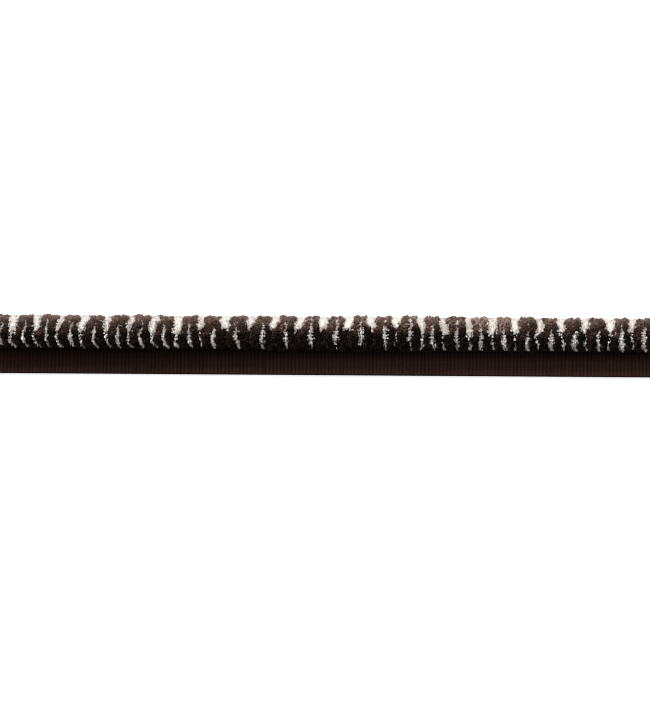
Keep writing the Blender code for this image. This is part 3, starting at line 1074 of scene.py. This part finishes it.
def makeCreamCore():
    # A ridge along each stripe, with eight corners across: a little narrower than the stripe, and sunk into
    # the brown, further where the stripe is thin
    grooves = np.arange(1, placeCount - 1)
    start = pile["frontAngle"] - creamCore["frontInset"]
    tallTip = pile["backAngle"] + creamCore["tallInset"]
    shortTip = stripe["shortAngles"][0] + creamCore["shortInset"]
    tip = np.where(grooves % 2 == 1, tallTip, shortTip)
    angle = between(start, tip[:, None], np.linspace(0, 1, creamCore["stations"])[None, :])
    groove = np.broadcast_to(grooves[:, None], angle.shape)
    half = stripeWidth(groove, angle) * creamCore["widthShare"] - creamCore["narrower"]
    half = np.maximum(half, creamCore["leastHalf"])
    middle = middleAt(groove, angle) + leanAt(places[groove], angle)
    corners = len(creamCore["across"])
    angles = np.broadcast_to(angle[..., None], angle.shape + (corners,))
    xs = middle[..., None] + half[..., None] * creamCore["across"]
    inTail = np.where(groove % 2 == 1, smoothStep(0.40 * mm, 0.30 * mm, half), 0)
    sunk = 0.25 + 0.75 * smoothStep(1.2 * mm, 0.4 * mm, half)
    sunk = sunk + 1.0 * smoothStep(0.20 * mm, 0.08 * mm, half) + 1.2 * inTail
    drop = sunk[..., None] * mm + creamCore["under"] + creamCore["deeper"] + clumpDrop(xs, angles, True)
    y, z = outline(angles, drop)
    z = np.maximum(z, tapeHigh[2] + 2 * core["baseLift"])
    mesh = loftMesh("cream_pile_core", np.stack([xs, y, z], -1))
    addPiece("cream_pile_core", mesh, coreMaterial("cream_core", creamCore), "cream_pile", "cream_ruche")


makeBrownCore()
makeCreamCore()

# the tape: ribs across it in relief, flat threads along it in its material

tape = {
    "ribs": 190,
    "perRib": 6,
    "relief": 0.15 * mm,
    "backRelief": 0.08 * mm,
    "edgeRound": 0.45 * mm,
    "edgeCorners": 7,
    "flatCorners": 9,
    "scallop": 0.03 * mm,
    "edgeY": -10.30 * mm,       # the photo shows the edge a little lower than the solid has it
    "pick": 0.42 * mm,
    "dark": (0.0060, 0.0028, 0.0022, 1),
    "light": (0.048, 0.0230, 0.0180, 1),
    "shadeFloor": -0.15,
    # painted shade: each rib's hump lightens its top and leaves the hollows between ribs darker
    "paintedRibShadeShare": 0.55,
    "threadShare": 0.20,
    "ribShare": 0.22,
    "rowShare": 0.12,
    "cloudShare": 0.5,
    "cloudScale": 900.0,
    "selvedge": (0.25 * mm, 0.6 * mm),
    # painted shadow of the pile: the tape darkens from here to the pile
    "paintedPileShadow": (-6.0 * mm, -1.8 * mm),     # it darkens from here to the pile
    # painted light: the tape is darker at its left and lighter at its right, as the light falls
    "paintedLightFalloff": (-60 * mm, 30 * mm),
    "leftShade": 0.68,
    "rightShade": 1.2,
    "roughness": 0.85,
    "gloss": 0.03,
    "bump": 0.05 * mm,
    "bumpStrength": 0.8,
}


def tapeMaterial():
    # fine threads run along the tape, and each rib and each row of threads has its own shade. Painted shade
    # darkens the hollows between the ribs, a painted shadow darkens it towards the pile, and painted light
    # falls off towards its left
    material, tree, shader = newMaterial("tape", tape["roughness"], tape["gloss"])
    spot = shaderNode(tree, "ShaderNodeTexCoord").outputs["Object"]
    parts = shaderNode(tree, "ShaderNodeSeparateXYZ", {0: spot})
    rib = calc(tree, "MULTIPLY", parts.outputs[0], tape["ribs"] / (2 * halfLength))
    row = calc(tree, "DIVIDE", parts.outputs[1], tape["pick"])
    hump, thread = (calc(tree, "ABSOLUTE", calc(tree, "SINE", calc(tree, "MULTIPLY", wave, math.pi)))
                    for wave in (rib, row))
    ownRib, ownRow = (shaderNode(tree, "ShaderNodeTexWhiteNoise", {"W": calc(tree, "FLOOR", wave)},
                                 noise_dimensions="1D").outputs["Value"] for wave in (rib, row))
    cloud = shaderNode(tree, "ShaderNodeTexNoise",
                       {"Vector": spot, "Scale": tape["cloudScale"], "Detail": 3.0}).outputs["Fac"]
    shade = tape["shadeFloor"]
    for mask, share in ((calc(tree, "POWER", hump, 1.2), "paintedRibShadeShare"), (thread, "threadShare"),
                        (ownRib, "ribShare"), (ownRow, "rowShare"), (cloud, "cloudShare")):
        shade = calc(tree, "ADD", shade, calc(tree, "MULTIPLY", mask, tape[share]))
    edge, paintedPileShadow, side = tape["selvedge"], tape["paintedPileShadow"], tape["paintedLightFalloff"]
    # the dark selvedge at the free edge, the painted shadow of the pile, and the painted falloff of light
    # from right to left
    for axis, start, end, first, last in (
        (1, tape["edgeY"] + edge[0], tape["edgeY"] + edge[1], 0.0, 1.0),
        (1, paintedPileShadow[0], paintedPileShadow[1], 1.0, 0.0),
        (0, side[0], side[1], tape["leftShade"], tape["rightShade"]),
    ):
        ramp = shaderNode(tree, "ShaderNodeMapRange",
                          {0: parts.outputs[axis], 1: start, 2: end, 3: first, 4: last})
        shade = calc(tree, "MULTIPLY", shade, ramp.outputs[0])
    colour = blendColours(tree, shade, tape["dark"], tape["light"])
    tree.links.new(colour, shader.inputs["Base Color"])
    height = calc(tree, "ADD", thread, calc(tree, "MULTIPLY", cloud, tape["cloudShare"]))
    bump = shaderNode(tree, "ShaderNodeBump",
                      {"Height": height, "Distance": tape["bump"], "Strength": tape["bumpStrength"]})
    tree.links.new(bump.outputs[0], shader.inputs["Normal"])
    return material


def makeTape():
    # rings across the tape: a round edge at each side, a rib's hump |sin| on top and a shallower one below
    x = np.linspace(-halfLength, halfLength, tape["ribs"] * tape["perRib"] + 1)
    hump = np.abs(np.sin(math.pi * (x + halfLength) / (2 * halfLength) * tape["ribs"]))[:, None]
    thick, inset, flat = tapeHigh[2], tape["edgeRound"], tape["flatCorners"]
    edge = np.radians(np.linspace(-90, 90, tape["edgeCorners"]))[1:-1]
    far, near = tapeHigh[1] - inset, tape["edgeY"] + inset
    top, bottom = np.linspace(far, near, flat), np.linspace(near, far, flat)
    y = np.concatenate([far + inset * np.cos(edge), top, near - inset * np.cos(edge), bottom])
    share = np.concatenate([(1 + np.sin(edge)) / 2, np.ones(flat), (1 - np.sin(edge)) / 2, np.zeros(flat)])
    ys = y[None, :] - np.sign(y - y.mean())[None, :] * (1 - hump) * tape["scallop"]
    low = tape["backRelief"] * (1 - hump)
    high = thick - tape["relief"] * (1 - hump)
    zs = low + (high - low) * share[None, :]
    xs = np.broadcast_to(x[:, None], zs.shape)
    mesh = loftMesh("flange_tape_cloth", np.stack([xs, ys, zs], -1)[None], strips=10)
    cloth = addPiece("flange_tape_cloth", mesh, tapeMaterial(), "tape", "flange_tape")


makeTape()

# studio


studio = {
    "floorSize": 12,
    "floorColour": (0.95, 0.95, 0.95, 1),
    "floorGlow": 0.5,
    "floorRoughness": 0.9,
    "floorGloss": 0.5,
    "skyStrength": 0.53,
    "keySize": (1.26, 0.45),
    "keyPower": 98,
    "keyPlace": (-0.74, 1.53, 1.24),
}


def makeStudio():
    bpy.ops.mesh.primitive_plane_add(size=studio["floorSize"], location=(0, 0, 0))
    floor = bpy.context.active_object
    floor.name = "floor"
    paint, tree, shader = newMaterial("floor", studio["floorRoughness"], studio["floorGloss"])
    shader.inputs["Base Color"].default_value = studio["floorColour"]
    shader.inputs["Emission Color"].default_value = (1, 1, 1, 1)
    shader.inputs["Emission Strength"].default_value = studio["floorGlow"]
    floor.data.materials.append(paint)
    world = bpy.data.worlds.new("studio")
    world.use_nodes = True
    world.node_tree.nodes["Background"].inputs["Color"].default_value = (1, 1, 1, 1)
    world.node_tree.nodes["Background"].inputs["Strength"].default_value = studio["skyStrength"]
    bpy.context.scene.world = world
    data = bpy.data.lights.new("key", "AREA")
    data.shape = "RECTANGLE"
    data.size, data.size_y = studio["keySize"]
    data.energy = studio["keyPower"]
    key = bpy.data.objects.new("key", data)
    key.location = studio["keyPlace"]
    aim = -Vector(studio["keyPlace"])
    key.rotation_euler = aim.to_track_quat("-Z", "Y").to_euler()
    bpy.context.scene.collection.objects.link(key)
    bpy.context.scene.view_settings.view_transform = "Standard"
    bpy.context.scene.cycles.filter_width = 1.1
    print("studio")


makeStudio()
